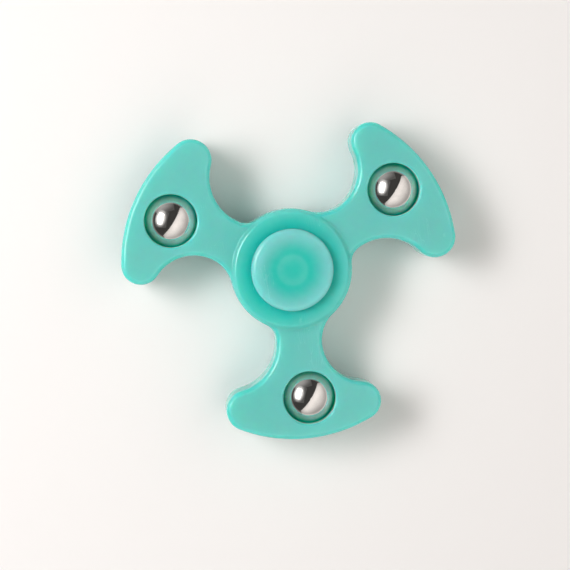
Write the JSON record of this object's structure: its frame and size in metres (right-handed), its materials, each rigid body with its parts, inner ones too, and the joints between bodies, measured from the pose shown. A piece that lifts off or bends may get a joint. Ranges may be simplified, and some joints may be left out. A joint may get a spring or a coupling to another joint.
{
  "type": "fidget spinner",
  "caption": "Mint-green moulded fidget spinner with swept wing-shaped arms, a polished steel ball pressed into each, turning on a ball bearing between two dished finger caps.",
  "frame": {"origin": "on the spin axis, in the plane of the bottom cap's flat rest ring", "axes": "+Z along the spin axis, from the bottom cap to the top cap; -Y along one arm; +X completes the right-handed frame"},
  "size_m": [0.0776, 0.0724, 0.016],
  "materials": {
    "body_plastic": "glossy, slightly translucent mint ABS",
    "cap_plastic": "glossy, slightly translucent mint ABS",
    "polished_steel": "mirror-polished steel ball",
    "race_steel": "ground bearing steel",
    "bearing_ball_steel": "lapped bearing ball",
    "cage_steel": "pressed steel ribbon",
    "shield_steel": "pressed steel sheet"
  },
  "bodies": {
    "caps": {"top_cap": "cap_plastic", "bottom_cap": "cap_plastic", "bearing_inner_ring": "race_steel"},
    "rotor": {"spinner_body": "body_plastic", "weight_ball_1": "polished_steel", "weight_ball_2": "polished_steel", "weight_ball_3": "polished_steel", "bearing_outer_ring": "race_steel", "upper_shield": "shield_steel", "lower_shield": "shield_steel"},
    "ball_cage": {"cage_upper_half": "cage_steel", "cage_lower_half": "cage_steel", "cage_rivets": "cage_steel"},
    "bearing_ball_1": {"bearing_ball_1": "bearing_ball_steel"},
    "bearing_ball_2": {"bearing_ball_2": "bearing_ball_steel"},
    "bearing_ball_3": {"bearing_ball_3": "bearing_ball_steel"},
    "bearing_ball_4": {"bearing_ball_4": "bearing_ball_steel"},
    "bearing_ball_5": {"bearing_ball_5": "bearing_ball_steel"},
    "bearing_ball_6": {"bearing_ball_6": "bearing_ball_steel"},
    "bearing_ball_7": {"bearing_ball_7": "bearing_ball_steel"}
  },
  "joints": [
    {"name": "body_spin", "type": "hinge", "parent": "caps", "child": "rotor", "pos_m": [0, 0, 0.008], "axis": [0, 0, 1], "continuous": true},
    {"name": "cage_spin", "type": "hinge", "parent": "caps", "child": "ball_cage", "pos_m": [0, 0, 0.008], "axis": [0, 0, 1], "continuous": true},
    {"name": "bearing_ball_1_roll", "type": "hinge", "parent": "ball_cage", "child": "bearing_ball_1", "pos_m": [0.0075, 0, 0.008], "axis": [0, 0, 1], "continuous": true},
    {"name": "bearing_ball_2_roll", "type": "hinge", "parent": "ball_cage", "child": "bearing_ball_2", "pos_m": [0.00468, 0.00586, 0.008], "axis": [0, 0, 1], "continuous": true},
    {"name": "bearing_ball_3_roll", "type": "hinge", "parent": "ball_cage", "child": "bearing_ball_3", "pos_m": [-0.00167, 0.00731, 0.008], "axis": [0, 0, 1], "continuous": true},
    {"name": "bearing_ball_4_roll", "type": "hinge", "parent": "ball_cage", "child": "bearing_ball_4", "pos_m": [-0.00676, 0.00325, 0.008], "axis": [0, 0, 1], "continuous": true},
    {"name": "bearing_ball_5_roll", "type": "hinge", "parent": "ball_cage", "child": "bearing_ball_5", "pos_m": [-0.00676, -0.00325, 0.008], "axis": [0, 0, 1], "continuous": true},
    {"name": "bearing_ball_6_roll", "type": "hinge", "parent": "ball_cage", "child": "bearing_ball_6", "pos_m": [-0.00167, -0.00731, 0.008], "axis": [0, 0, 1], "continuous": true},
    {"name": "bearing_ball_7_roll", "type": "hinge", "parent": "ball_cage", "child": "bearing_ball_7", "pos_m": [0.00468, -0.00586, 0.008], "axis": [0, 0, 1], "continuous": true}
  ],
  "couplings": [
    {"joint": "cage_spin", "follows": "body_spin", "ratio": 0.6323},
    {"joint": "bearing_ball_1_roll", "follows": "body_spin", "ratio": 1.7573},
    {"joint": "bearing_ball_2_roll", "follows": "body_spin", "ratio": 1.7573},
    {"joint": "bearing_ball_3_roll", "follows": "body_spin", "ratio": 1.7573},
    {"joint": "bearing_ball_4_roll", "follows": "body_spin", "ratio": 1.7573},
    {"joint": "bearing_ball_5_roll", "follows": "body_spin", "ratio": 1.7573},
    {"joint": "bearing_ball_6_roll", "follows": "body_spin", "ratio": 1.7573},
    {"joint": "bearing_ball_7_roll", "follows": "body_spin", "ratio": 1.7573}
  ]
}
